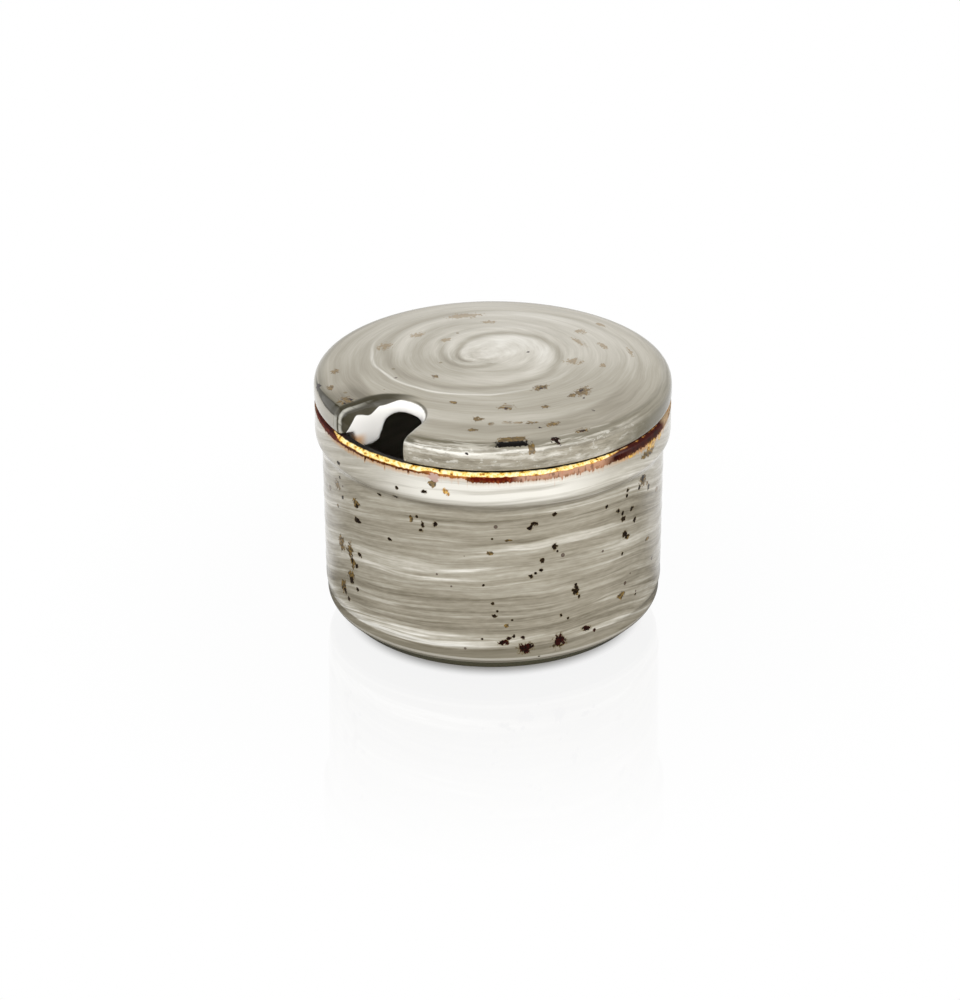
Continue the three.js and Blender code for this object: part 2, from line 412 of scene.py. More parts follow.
class Mixer:
    """Adds nodes to one material or world, and hands back the sockets that they give."""

    def __init__(self, holder):
        holder.use_nodes = True
        self.tree = holder.node_tree
        self.tree.nodes.clear()

    def add(self, kind, inputs=None, **settings):
        node = self.tree.nodes.new(kind)
        for name, value in settings.items():
            setattr(node, name, value)
        for name, value in (inputs or {}).items():
            if isinstance(value, bpy.types.NodeSocket):
                self.tree.links.new(value, node.inputs[name])
            else:
                node.inputs[name].default_value = value
        return node

    def output(self, kind, surface):
        self.tree.links.new(surface, self.add(kind).inputs["Surface"])

    def calc(self, operation, *values):
        return self.add("ShaderNodeMath", dict(enumerate(values)), operation=operation).outputs[0]

    def chain(self, operation, first, *others):
        for other in others:
            first = self.calc(operation, first, other)
        return first

    def times(self, *values):
        return self.chain("MULTIPLY", *values)

    def plus(self, *values):
        return self.chain("ADD", *values)

    def most(self, *values):
        return self.chain("MAXIMUM", *values)

    def minus(self, first, second):
        return self.calc("SUBTRACT", first, second)

    def scaled(self, value, factor, offset):
        """The value times the factor, plus the offset."""
        return self.calc("MULTIPLY_ADD", value, factor, offset)

    def pick(self, share, first, second):
        """A number that goes from the first to the second as the share goes from 0 to 1."""
        return self.add("ShaderNodeMix", {0: share, 2: first, 3: second}).outputs[0]

    def vector(self, operation, *values):
        node = self.add("ShaderNodeVectorMath", dict(enumerate(values)), operation=operation)
        return node.outputs["Value" if operation in ("LENGTH", "DISTANCE", "DOT_PRODUCT") else "Vector"]

    def split(self, vector):
        return self.add("ShaderNodeSeparateXYZ", {0: vector}).outputs

    def join(self, x=0.0, y=0.0, z=0.0):
        return self.add("ShaderNodeCombineXYZ", {0: x, 1: y, 2: z}).outputs[0]

    def mapped(self, place, scale=(1, 1, 1), turn=0.0, shift=(0, 0, 0)):
        inputs = {"Vector": place, "Scale": scale, "Rotation": (0, 0, turn), "Location": shift}
        return self.add("ShaderNodeMapping", inputs).outputs[0]

    def noise(self, place, scale=1.0, detail=2.0, roughness=0.5, colour=False):
        inputs = {"Vector": place, "Scale": scale, "Detail": detail, "Roughness": roughness}
        return self.add("ShaderNodeTexNoise", inputs).outputs["Color" if colour else "Fac"]

    def span(self, value, low, high, start=0.0, end=1.0):
        """Takes low..high to start..end with an even S, and stays level outside."""
        inputs = {"Value": value, "From Min": low, "From Max": high, "To Min": start, "To Max": end}
        return self.add("ShaderNodeMapRange", inputs, interpolation_type="SMOOTHSTEP").outputs[0]

    def fade(self, value, low, high, start=1.0):
        """Falls from the start to 0 between low and high."""
        return self.span(value, low, high, start, 0.0)

    def between(self, value, rise, fall, top=1.0, rest=0.0):
        """Comes up from 0 to the top over the rise, and goes down to the rest over the fall."""
        return self.times(self.span(value, *rise), self.span(value, *fall, top, rest))

    def ramp(self, value, stops):
        """Looks the value up between stops, which hold a position and a colour or a plain level."""
        node = self.add("ShaderNodeValToRGB", {"Fac": value})
        elements = node.color_ramp.elements
        while len(elements) < len(stops):
            elements.new(0.5)
        for element, (position, tone) in zip(elements, stops):
            element.position = position
            element.color = grey(tone) if isinstance(tone, float) else tone
        return node.outputs[0]

    def blend(self, share, first, second, how="MIX"):
        inputs = {0: share, 6: first, 7: second}
        return self.add("ShaderNodeMix", inputs, data_type="RGBA", blend_type=how).outputs[2]


def mm(*lengths):
    """Lengths in millimetres, turned to the metres that the nodes read."""
    return tuple(length * MM for length in lengths)


def linear(level):
    return level / 12.92 if level <= 0.04045 else ((level + 0.055) / 1.055) ** 2.4


def shade(red, green, blue):
    """A colour written in ordinary 0 to 255 steps."""
    return tuple(linear(level / 255) for level in (red, green, blue)) + (1.0,)


def grey(level):
    return (level, level, level, 1.0)


FLAT = (1, 1, 0)

# Glaze tones from dark to white; the two lightest also serve as painted highlights
GLAZE_DARK = shade(116, 109, 93)
GLAZE_DIM = shade(148, 141, 125)
GLAZE_MID = shade(170, 164, 149)
GLAZE_LIGHT_AND_HIGHLIGHT = shade(202, 197, 185)
GLAZE_WHITE_AND_HIGHLIGHT = shade(230, 227, 218)
PORCELAIN = shade(250, 248, 243)
# Painted reflection of the rim's gold on the notch's ring
PAINTED_GOLD_REFLECTION = shade(226, 162, 70)
BISQUE = shade(224, 217, 203)
IRON_BLACK = shade(20, 10, 5)
IRON_BROWN = shade(50, 13, 7)
IRON_OLIVE = shade(44, 32, 13)
BLOCK_BLACK = shade(10, 6, 3)
OCHRE = shade(122, 95, 40)
PALE_OCHRE = shade(166, 138, 88)
OLIVE = shade(108, 91, 48)
DARK_OLIVE = shade(66, 53, 30)
# Painted shade on the heel: the olive bevel, and the dark and light streaks of its band
BEVEL_SHADE_OLIVE = shade(88, 84, 60)
HEEL_BAND_SHADE_DARK = shade(94, 88, 72)
HEEL_BAND_SHADE_LIGHT = shade(152, 145, 128)
# Painted shade on the lid's shoulder
SHOULDER_SHADE_OLIVE = shade(84, 80, 62)
SHOULDER_BAND_SHADE = shade(46, 42, 25)
# Painted shade and highlight on the notch's lip
NOTCH_SHADE_OUTLINE = shade(84, 80, 64)
NOTCH_HIGHLIGHT = shade(182, 180, 170)
LUSTRE = shade(247, 213, 122)
LUSTRE_EDGE = shade(172, 104, 26)
LIP_BROWN = shade(14, 6, 3)
FRINGE_TAN = shade(196, 146, 92)
FRAYED_BROWN = shade(122, 76, 34)
CLOUD_BROWN = shade(60, 22, 10)
RUST = shade(200, 110, 60)
PATCH_PINK = shade(188, 158, 146)
RUN_BROWN = shade(150, 104, 30)
RUN_GOLD = shade(226, 180, 80)

POT_TONES = (
    (0.28, GLAZE_DARK), (0.44, GLAZE_DIM), (0.58, GLAZE_MID), (0.74, GLAZE_LIGHT_AND_HIGHLIGHT), (0.88, GLAZE_WHITE_AND_HIGHLIGHT),
)
LID_TONES = (
    (0.28, GLAZE_DARK), (0.44, GLAZE_DIM), (0.58, GLAZE_MID), (0.76, GLAZE_LIGHT_AND_HIGHLIGHT), (0.92, GLAZE_WHITE_AND_HIGHLIGHT),
)
# Gold lustre tones at random, from dark brown spots to light yellow; the lightest are painted highlights
GOLD_AND_HIGHLIGHT_TONES = (
    (0.32, shade(84, 50, 12)), (0.37, LUSTRE_EDGE), (0.41, shade(232, 190, 84)), (0.47, LUSTRE),
    (0.58, shade(255, 240, 190)),
)
# Painted shade across the notch's left lip, from its wall out to the top of its roll
NOTCH_LIP_SHADE_TONES = (
    (0.0, shade(72, 68, 54)), (0.1, shade(50, 46, 33)), (0.3, shade(54, 50, 36)), (0.5, shade(60, 56, 42)),
    (0.66, shade(80, 76, 62)),
)

# The rim from the camera's far left, at 0, to its far right, at 1: how deep the gold lip and the dark band
# under it reach, as shares of GOLD_REACH and BAND_REACH, the share of tan fringe, and the colours
GOLD_REACH = 2.8 * MM
BAND_REACH = 4.2 * MM
GOLD_DEPTH = (
    (0.0, 0.0), (0.15, 0.0), (0.18, 0.42), (0.37, 0.42), (0.385, 0.24), (0.405, 0.36), (0.6, 0.38),
    (0.7, 0.26), (0.76, 0.08), (0.9, 0.0), (1.0, 0.2),
)
BAND_DEPTH = (
    (0.0, 0.25), (0.16, 0.46), (0.2, 0.45), (0.41, 0.4), (0.45, 0.4), (0.46, 0.62), (0.53, 0.62),
    (0.54, 0.58), (0.7, 0.62), (0.75, 0.6), (0.87, 0.6), (0.93, 0.4), (1.0, 0.25),
)
FRINGE_SHARE = (
    (0.1, 0.0), (0.18, 0.7), (0.4, 0.6), (0.46, 0.25), (0.72, 0.3), (0.76, 0.9), (0.88, 0.8), (0.96, 0.0),
)
BAND_COLOURS = (
    (0.0, shade(96, 70, 48)), (0.08, shade(80, 8, 0)), (0.17, shade(76, 9, 1)), (0.25, shade(54, 22, 8)),
    (0.36, shade(70, 30, 12)), (0.41, shade(176, 112, 56)), (0.45, shade(180, 116, 60)),
    (0.46, shade(84, 14, 2)), (0.53, shade(92, 20, 4)), (0.55, shade(184, 144, 122)),
    (0.7, shade(184, 140, 112)), (0.73, shade(54, 7, 0)), (0.87, shade(54, 8, 0)),
    (0.885, shade(70, 26, 12)), (0.9, shade(176, 150, 118)),
)
LIP_COLOURS = (
    (0.02, shade(150, 122, 92)), (0.06, shade(64, 12, 3)), (0.16, shade(48, 10, 3)), (0.2, LIP_BROWN),
    (0.7, LIP_BROWN), (0.74, shade(58, 10, 2)), (0.88, shade(58, 12, 4)), (0.9, shade(172, 148, 116)),
)

# Iron marks on the pot, as angle across from the camera's side, height, half width and half height
POT_DARK_MARKS = (
    (-62.2, 46.4, 0.56, 0.5), (-60.5, 41.5, 0.56, 0.5), (-51.6, 41.8, 0.55, 0.5), (-51.9, 37.8, 1.25, 0.69),
    (-50.9, 28.4, 0.88, 0.62), (-55.4, 26.0, 0.45, 1.2), (-53.0, 24.5, 0.69, 0.69), (-56.3, 19.6, 0.9, 1.1),
    (-52.7, 18.0, 0.5, 0.5), (-60.6, 15.2, 0.6, 0.7), (-58.3, 13.5, 0.62, 0.5), (-58.3, 52.0, 0.75, 0.5),
    (-40.5, 48.0, 0.5, 0.44), (-33.4, 49.3, 0.88, 0.5), (-31.9, 52.4, 0.44, 0.44), (-22.2, 53.0, 0.62, 0.5),
    (-26.0, 44.9, 0.38, 0.38), (-23.9, 43.0, 0.44, 0.81), (-24.4, 41.2, 0.56, 0.44), (-19.4, 43.7, 0.62, 0.62),
    (-36.4, 36.4, 0.62, 0.44), (13.3, 44.3, 0.81, 0.69), (11.9, 43.3, 0.62, 0.56), (20.3, 46.2, 0.56, 0.5),
    (20.3, 37.2, 0.69, 0.75), (15.9, 34.0, 0.62, 0.62), (15.6, 31.4, 0.56, 0.56), (13.9, 30.5, 0.38, 0.38),
    (12.1, 29.9, 0.62, 0.56), (21.3, 35.8, 0.31, 0.31), (-0.5, 40.8, 0.31, 0.31), (28.1, 23.8, 0.94, 1.0),
    (29.4, 21.8, 0.38, 0.62), (28.1, 25.4, 0.31, 0.38), (-0.5, 22.9, 0.38, 0.38), (0.1, 19.3, 0.62, 0.5),
    (1.1, 20.7, 0.31, 0.31), (6.1, 18.0, 0.31, 0.31), (22.8, 17.7, 0.38, 0.38), (25.3, 16.4, 0.31, 0.31),
    (-3.5, 28.0, 0.31, 0.31), (2.8, 11.8, 1.25, 0.75), (4.9, 12.9, 0.56, 0.5), (6.6, 13.5, 0.38, 0.38),
    (9.6, 12.9, 0.5, 0.44), (10.6, 9.8, 1.75, 1.38), (22.4, 10.4, 1.75, 1.75), (32.3, 12.2, 1.38, 0.69),
    (35.9, 10.8, 0.38, 0.5), (-3.9, 12.8, 0.28, 0.28), (15.3, 6.8, 0.38, 0.28), (56.1, 15.3, 0.38, 0.38),
    (49.1, 34.5, 0.88, 0.88), (50.1, 33.3, 0.88, 0.62), (48.1, 29.2, 0.38, 0.5), (48.1, 38.9, 0.88, 0.62),
    (52.7, 40.5, 0.75, 0.62), (54.7, 36.8, 0.62, 0.62), (45.6, 41.8, 0.56, 0.5), (47.8, 40.5, 0.38, 0.62),
    (50.3, 46.2, 0.62, 0.5), (49.9, 44.9, 0.5, 0.44), (40.3, 44.3, 0.5, 0.5), (63.9, 43.0, 0.75, 0.75),
    (57.2, 44.9, 0.5, 0.62), (59.2, 47.0, 0.75, 0.88),
)
POT_OCHRE_MARKS = (
    (-64.3, 43.7, 1.5, 1.38), (-64.3, 37.8, 0.56, 0.5), (-71.3, 40.5, 0.88, 0.75), (-52.2, 42.5, 1.3, 1.2),
    (-56.4, 20.6, 1.2, 1.8),
    (-62.2, 28.0, 1.62, 1.88), (-56.2, 28.0, 1.5, 2.2), (-54.7, 25.0, 1.2, 1.6), (-61.6, 16.2, 1.4, 1.9),
    (-28.0, 44.0, 0.56, 1.12), (-19.4, 55.5, 1.0, 1.0), (-1.4, 36.8, 0.75, 0.62),
    (4.9, 40.3, 0.88, 0.31), (4.1, 16.5, 0.56, 0.56), (48.1, 17.4, 1.38, 0.94), (50.6, 33.0, 0.88, 0.5),
    (59.4, 46.2, 1.75, 1.62), (62.7, 44.5, 0.62, 0.62), (71.9, 39.5, 1.25, 0.75), (63.6, 28.3, 1.12, 0.5),
    (58.9, 54.5, 2.75, 1.12), (28.6, 23.3, 0.5, 1.12), (22.9, 9.0, 1.25, 0.38), (4.1, 12.0, 0.62, 0.5),
)
PINK_PATCH = ((-19.0, 57.3, 1.5, 1.0),)
GOLD_RUNS = (
    (60.5, 56.1, 2.3, 1.2), (50.0, 56.5, 1.6, 0.5), (67.0, 56.3, 1.2, 0.9), (-15.4, 54.0, 0.8, 0.7),
    (-14.2, 53.3, 0.5, 0.5),
)

# Iron marks on the lid, as angle from the notch, distance along the surface from the crown, half length and
# half width
LID_OLIVE_MARKS = (
    (-123.2, 32.6, 3.6, 1.5), (-90.8, 27.2, 1.7, 1.1), (-70.6, 30.2, 2.0, 1.5), (-97.9, 19.3, 1.4, 0.9),
    (-134.3, 27.1, 1.5, 0.9), (166.1, 26.4, 2.9, 0.8), (158.2, 30.7, 1.9, 0.8), (139.5, 20.6, 1.5, 1.9),
    (134.1, 27.6, 1.0, 0.6), (84.5, 18.1, 1.9, 1.0), (99.5, 27.0, 2.3, 1.5), (92.0, 26.4, 1.1, 0.8),
    (51.7, 24.6, 1.7, 1.3), (71.9, 27.4, 1.0, 0.6), (37.0, 31.0, 1.1, 1.1), (49.7, 32.6, 1.2, 0.6),
    (54.6, 33.0, 1.3, 0.6), (60.0, 33.7, 1.1, 0.6), (43.2, 33.1, 0.9, 0.6), (67.8, 35.9, 1.5, 1.0),
    (75.1, 41.5, 1.5, 0.9), (-19.2, 40.8, 1.9, 1.6), (-44.4, 39.5, 1.3, 0.9),
    (-31.6, 41.7, 1.0, 0.8), (20.2, 23.9, 0.9, 0.5), (-20.4, 16.2, 1.0, 0.6), (36.1, 36.4, 1.0, 0.6),
    (178.4, 31.0, 1.7, 1.2), (150.0, 36.0, 2.4, 0.5), (178.0, 38.5, 1.6, 0.5),
)
LID_DARK_MARKS = (
    (64.3, 43.2, 1.2, 1.2), (65.0, 45.0, 0.5, 0.9), (75.1, 41.9, 0.9, 0.5),
    (-36.2, 45.1, 1.5, 1.2), (99.5, 26.2, 0.8, 0.6), (62.2, 36.6, 0.4, 0.4), (88.2, 35.1, 0.4, 0.4),
    (173.1, 11.5, 0.5, 0.4), (35.6, 46.6, 0.4, 0.4), (-29.6, 25.3, 0.45, 0.4), (84.5, 18.6, 1.0, 0.5),
    (94.0, 29.3, 0.5, 0.4), (51.0, 25.4, 0.6, 0.5), (-17.3, 41.6, 1.0, 0.45), (-19.0, 39.4, 0.7, 0.4),
    (-20.8, 41.4, 0.5, 0.4),
)
LID_OLIVE_BLOCKS = ((50.4, 41.0, 3.3, 1.1), (56.0, 45.3, 0.8, 1.6))
LID_DARK_BLOCKS = ((50.1, 43.1, 4.0, 1.1),)

# Where the pot's finish changes: the start and the end of each change, as heights or distances from the axis
INNER_WALL = mm(41.4, 42.4)
FLOOR_INSIDE = mm(5.2, 5.6)
# Painted highlight low on the wall, above the heel's band
LOW_HIGHLIGHT = (mm(10.2, 10.8), mm(11.5, 16.5))
# Painted shade towards the foot
FOOT_SHADE = mm(14, 34)
COLLAR = mm(49.5, 52.2)
HEEL_BAND = mm(9.5, 10.3)
HEEL_BAND_TILT = 1.3 * MM
HEEL_EDGE = 6.7 * MM
HEEL_EDGE_WIDTH = mm(0.2, 0.6)
HEEL_BEVEL = mm(5.5, 6.3)
BARE_FOOT = mm(1.2, 1.6)
FOOT_RING = mm(29.5, 30.5)
MARKED_FROM = mm(36, 37.2)
REDDER_MARKS = mm(12, 16)
RIM_TOP = mm(58.6, 59)
RIM_INNER = mm(42.8, 43.6)
RIM_OUTER = mm(44.4, 44.7)
WALL_RADIUS = 43.0
MARKS_TURNED_OVER = 57.0  # height that stands for 0 on the far side

# Where the lid's finish changes: distances from the axis, or along the surface from the crown
# Painted shade on the outer dome towards the front
OUTER_SHADE = (mm(32.5, 34.5), mm(36.5, 39))
SHOULDER = (mm(41.5, 43.3), mm(45.2, 47.2))
SHOULDER_MIDDLE = 45.2 * MM
UPRIGHT_EDGE = mm(46, 47.2)
# Painted highlight on the front edge
FRONT_HIGHLIGHT = (mm(44.8, 45.6), mm(47.2, 48.2))
FRONT_MOTTLE = mm(39.5, 43)
FRONT_BLOTCHES = mm(43.5, 45.5)
# Painted shade on the far right edge
RIGHT_SHADE_EDGE = mm(45, 47.5)
# Middle of the painted shade beside the notch
NOTCH_SHADE_CENTRE = (*mm(-13.5, -39.5), 0)

# Turns from the notch on the lid, in radians
FRONT_TURN = 0.6
LEFT_TURN = -1.25
LEFT_OF_NOTCH = ((-0.9, -0.75), (-0.2, -0.1))
FAR_LEFT = ((-1.5, -0.9), (-0.2, -0.1))
RIGHT_OF_NOTCH = ((0.12, 0.25), (0.6, 1.7))
FAR_RIGHT = ((1.4, 1.8), (2.1, 2.9))

# The white of the notch starts below its lip, and inside a slope through the plate
WHITE_SLOPE = 1.44
WHITE_RADIUS = 38.5 * MM
NOTCH_LIP_SPREAD = 4.5 * MM


class Glaze(Mixer):
    """A glass-like glaze over a painted ground."""

    def __init__(self, name):
        self.material = bpy.data.materials.new(name)
        super().__init__(self.material)
        self.place = self.add("ShaderNodeTexCoord").outputs["Object"]

    def strokes(self, place, around, along, detail=2.0, roughness=0.5, shift=(0, 0, 0)):
        """Noise drawn out into brush strokes."""
        return self.noise(self.mapped(place, (around, around, along), shift=shift), 1.0, detail, roughness)

    def nearest_mark(self, place, marks, turn_radius=None, square=False):
        """How near the closest mark is: 0 at its middle and 1 at its edge. Place holds an angle and a length,
        which is also the distance from the axis where no radius is given."""
        nearest = None
        for angle, along, wide, tall in marks:
            turn = math.radians(angle)
            scale = ((turn_radius or along) / wide, 1 / (tall * MM), 0)
            gap = self.vector("MULTIPLY_ADD", place, scale, (-turn * scale[0], -along / tall, 0))
            if square:
                across, up, _ = self.split(self.vector("ABSOLUTE", gap))
                spread = self.calc("SMOOTH_MAX", across, up, 0.3)
            else:
                spread = self.vector("LENGTH", gap)
            nearest = spread if nearest is None else self.calc("MINIMUM", nearest, spread)
        return nearest

    def tiny_marks(self, scale, share=0.05, largest=0.22):
        """Fine specks scattered evenly: 1 inside a speck."""
        cells = self.add("ShaderNodeTexVoronoi", {"Vector": self.place, "Scale": scale, "Randomness": 1.0})
        chance = self.add("ShaderNodeSeparateColor", {"Color": cells.outputs["Color"]}).outputs[0]
        size = self.span(chance, 1 - share, 1.0, 0.0, largest)
        return self.calc("LESS_THAN", cells.outputs["Distance"], size)

    def finish(self, colour, roughness, relief, strength):
        bump = self.add("ShaderNodeBump", {"Strength": strength, "Distance": BUMP_DEPTH * MM, "Height": relief})
        shader = self.add("ShaderNodeBsdfPrincipled", {
            "Base Color": colour, "Roughness": roughness, "IOR": GLAZE_IOR, "Normal": bump.outputs[0],
        })
        self.output("ShaderNodeOutputMaterial", shader.outputs[0])
        return self.material


class PotGlaze(Glaze):
    """Brushed glaze with iron marks and a gold lip, laid out from the camera's side, with painted shade and
    highlights low on the wall, on the heel and in the gold.
    """

    def __init__(self):
        super().__init__("brushed_pot_glaze")
        faced = self.mapped(self.place, turn=-CAMERA_AZIMUTH)
        self.x, self.y, self.z = self.split(faced)
        self.radius = self.vector("LENGTH", self.vector("MULTIPLY", faced, FLAT))
        self.side = self.calc("DIVIDE", self.x, self.radius)
        self.across = self.calc("ARCSINE", self.side)
        self.off_front = self.calc("ABSOLUTE", self.across)
        self.tilted = self.plus(self.z, self.fade(self.side, -0.5, 0.5, HEEL_BAND_TILT))
        self.inside = self.times(self.fade(self.radius, *INNER_WALL), self.span(self.z, *FLOOR_INSIDE))
        self.outside = self.minus(1, self.inside)
        self.mottle = self.noise(self.place, 1500)
        self.ragged_edge = self.scaled(self.noise(self.place, 1050, 3, 0.6), 2.8, -1.4)

        # Brush strokes run round the pot, rise a little to the right and sag at the sides
        sag = self.calc("POWER", self.times(self.side, self.side), 3)
        sag = self.most(sag, self.calc("GREATER_THAN", self.y, 0.0))
        stroke = self.scaled(self.x, -0.05, self.scaled(sag, 9 * MM, self.z))
        stroke = self.scaled(self.strokes(self.place, 24, 40), 5 * MM, stroke)
        self.stroked = self.join(self.x, self.y, stroke)
        self.streaks = self.strokes(self.stroked, 20, 640, 4, 0.6)
        self.hairs = self.strokes(self.stroked, 80, 2200, 3, 0.7)

    def paint(self):
        colour = self.brush_wall_and_paint_light()
        colour, bare = self.paint_heel_shade_and_bare_foot(colour)
        colour, dark = self.mark_wall(colour)
        roughness = self.span(dark, 0.6, 1.0, MARK_ROUGHNESS, POT_ROUGHNESS)
        roughness = self.most(roughness, self.times(bare, BARE_ROUGHNESS))
        colour, roughness = self.gild_rim(colour, roughness)
        return self.finish(colour, roughness, self.plus(self.hairs, self.streaks), POT_BUMP)

    def brush_wall_and_paint_light(self):
        broad = self.strokes(self.stroked, 10, 160)
        loaded = self.strokes(self.stroked, 22, 310, shift=(3, 5, 7))
        thin = self.strokes(self.stroked, 24, 540, shift=(1, 2, 3))
        grain = self.strokes(self.stroked, 420, 1500)
        tone = self.scaled(broad, 0.42, self.scaled(self.streaks, 0.56, -0.28))
        tone = self.scaled(grain, 0.17, self.scaled(self.hairs, 0.36, tone))
        tone = self.plus(tone, self.span(loaded, 0.54, 0.66, 0.0, 0.12), self.span(thin, 0.57, 0.66, 0.0, 0.15))
        # Painted highlight: a light strip low on the wall above the heel's band, strongest towards the camera's
        # left
        lower = self.between(self.tilted, *LOW_HIGHLIGHT, 0.5)
        lower = self.times(lower, self.span(self.streaks, 0.35, 0.55, 0.5, 1.0))
        tone = self.plus(tone, self.times(lower, self.span(self.side, -0.35, 0.4, 1.0, 0.25)))
        # Painted shade: the wall darker towards the foot
        tone = self.minus(tone, self.fade(self.z, *FOOT_SHADE, 0.09))
        collar = self.times(self.span(self.z, *COLLAR), self.span(self.streaks, 0.34, 0.56, 0.5, 0.95))
        collar = self.times(collar, self.span(self.off_front, 0.3, 0.85, 1.0, 0.25))
        return self.blend(collar, self.ramp(tone, POT_TONES), GLAZE_WHITE_AND_HIGHLIGHT)

    def paint_heel_shade_and_bare_foot(self, colour):
        """Paints the inside's glaze, painted shade on the heel's band and the olive bevel under it, a painted
        highlight along the band's bottom edge, and the bare foot ring.
        """
        colour = self.blend(self.inside, colour, self.blend(self.streaks, GLAZE_DIM, GLAZE_LIGHT_AND_HIGHLIGHT))
        # Painted shade: the heel's band darker, less so towards the sides
        band = self.times(self.fade(self.tilted, *HEEL_BAND, 0.8), self.outside)
        band = self.times(band, self.span(self.side, 0.1, 0.75, 1, 0.3), self.span(self.side, -0.9, -0.6, 0.35, 1))
        colour = self.blend(band, colour, self.blend(self.streaks, HEEL_BAND_SHADE_DARK, HEEL_BAND_SHADE_LIGHT))
        # Painted highlight: a light line along the band's bottom edge
        off_edge = self.calc("ABSOLUTE", self.minus(self.z, HEEL_EDGE))
        heel_highlight = self.times(self.fade(off_edge, *HEEL_EDGE_WIDTH, 0.7), self.outside)
        colour = self.blend(heel_highlight, colour, GLAZE_LIGHT_AND_HIGHLIGHT)
        # Painted shade: the bevel under the heel olive-dark
        bevel = self.times(self.fade(self.z, *HEEL_BEVEL, 0.9), self.outside)
        colour = self.blend(bevel, colour, BEVEL_SHADE_OLIVE)
        ragged = self.scaled(self.noise(self.place, 260, 3), 1.2 * MM, self.z)
        bare = self.times(self.fade(ragged, *BARE_FOOT), self.span(self.radius, *FOOT_RING))
        return self.blend(bare, colour, BISQUE), bare

    def mark_wall(self, colour):
        """Iron marks. The far side carries the same ones upside down, the inside and the underside none."""
        near = self.calc("LESS_THAN", self.y, 0.0)
        height = self.pick(near, self.minus(MARKS_TURNED_OVER * MM, self.z), self.z)
        mark_place = self.join(self.across, height)
        unmarked = self.most(self.inside, self.fade(self.radius, *MARKED_FROM))
        far_off = self.scaled(unmarked, 9.0, self.ragged_edge)
        dark = self.plus(self.nearest_mark(mark_place, POT_DARK_MARKS, WALL_RADIUS), far_off)
        ochre = self.plus(self.nearest_mark(mark_place, POT_OCHRE_MARKS, WALL_RADIUS), far_off)
        ochre_colour = self.blend(self.span(self.mottle, 0.44, 0.58), DARK_OLIVE, OCHRE)
        iron_colour = self.blend(self.span(self.z, *REDDER_MARKS), IRON_BROWN, IRON_OLIVE)
        iron_colour = self.blend(self.span(self.mottle, 0.42, 0.62), IRON_BLACK, iron_colour)
        colour = self.blend(self.fade(ochre, 0.85, 1.1, 0.92), colour, ochre_colour)
        colour = self.blend(self.fade(dark, 1.0, 1.4, 0.5), colour, OLIVE)
        colour = self.blend(self.fade(dark, 0.85, 1.1), colour, iron_colour)
        specks = self.times(self.tiny_marks(330), 0.7, self.outside)
        return self.blend(specks, colour, IRON_BROWN), dark

    def gild_rim(self, colour, roughness):
        """The glaze breaks to a gold lustre on the lip, with light painted highlights at random in it, and to
        brown and pink below it.
        """
        turn = self.scaled(self.across, 1 / math.pi, 0.5)
        wobble = self.noise(self.place, 420, 3, 0.6)
        drips = self.noise(self.mapped(self.place, (1, 1, 0.25)), 1000)
        bristles = self.noise(self.mapped(self.place, (1, 1, 0.06)), 2400)
        clouds = self.noise(self.mapped(self.place, (1, 1, 0.5)), 900, 3, 0.6)
        below = self.plus(self.minus(POT_TOP * MM, self.z), 0.45 * MM)
        below = self.scaled(wobble, -0.9 * MM, below)

        # Dark band with a bristling lower end
        band_end = self.times(self.ramp(turn, BAND_DEPTH), BAND_REACH)
        band_end = self.scaled(self.span(drips, 0.55, 0.75), 1.2 * MM, band_end)
        bristling = self.span(self.across, -0.4, 0.3, *mm(0.6, 1.5))
        band_end = self.scaled(self.minus(bristles, 0.5), bristling, band_end)
        above_end = self.minus(band_end, below)
        fringe = self.times(self.span(above_end, *mm(-1.2, 0)), self.ramp(turn, FRINGE_SHARE))
        colour = self.blend(fringe, colour, FRINGE_TAN)
        band_colour = self.ramp(turn, BAND_COLOURS)
        frayed = self.times(self.fade(above_end, *mm(0.3, 1.1)), self.span(bristles, 0.4, 0.6), 0.6)
        band_colour = self.blend(frayed, band_colour, FRAYED_BROWN)
        band_colour = self.blend(self.fade(clouds, 0.36, 0.48, 0.5), band_colour, CLOUD_BROWN, "MULTIPLY")
        rusty = self.times(self.span(clouds, 0.55, 0.68, 0.0, 0.35), self.span(self.across, 0.2, 0.7, 1, 0.1))
        band_colour = self.blend(rusty, band_colour, RUST)
        in_band = self.span(above_end, *mm(-0.1, 0.2))
        colour = self.blend(in_band, colour, band_colour)

        # Pink patch and runs of gold
        rim_place = self.join(self.across, self.z)
        patch = self.plus(self.nearest_mark(rim_place, PINK_PATCH, COLLAR_RADIUS), self.ragged_edge)
        colour = self.blend(self.fade(patch, 0.85, 1.05), colour, PATCH_PINK)
        runs = self.plus(self.nearest_mark(rim_place, GOLD_RUNS, COLLAR_RADIUS), self.ragged_edge)
        runs = self.times(self.fade(runs, 0.8, 1.2, 0.95), self.span(bristles, 0.38, 0.52, 0.25, 1))
        run_colour = self.blend(self.span(self.mottle, 0.4, 0.6), RUN_BROWN, RUN_GOLD)
        colour = self.blend(runs, colour, run_colour)

        # Brown top of the lip, and its gold
        on_top = self.span(self.z, *RIM_TOP)
        lip_colour = self.blend(self.span(self.radius, *RIM_INNER), LIP_BROWN, self.ramp(turn, LIP_COLOURS))
        colour = self.blend(on_top, colour, lip_colour)
        above_gold = self.minus(self.times(self.ramp(turn, GOLD_DEPTH), GOLD_REACH), below)
        outer = self.span(self.scaled(wobble, 0.8 * MM, self.radius), *RIM_OUTER)
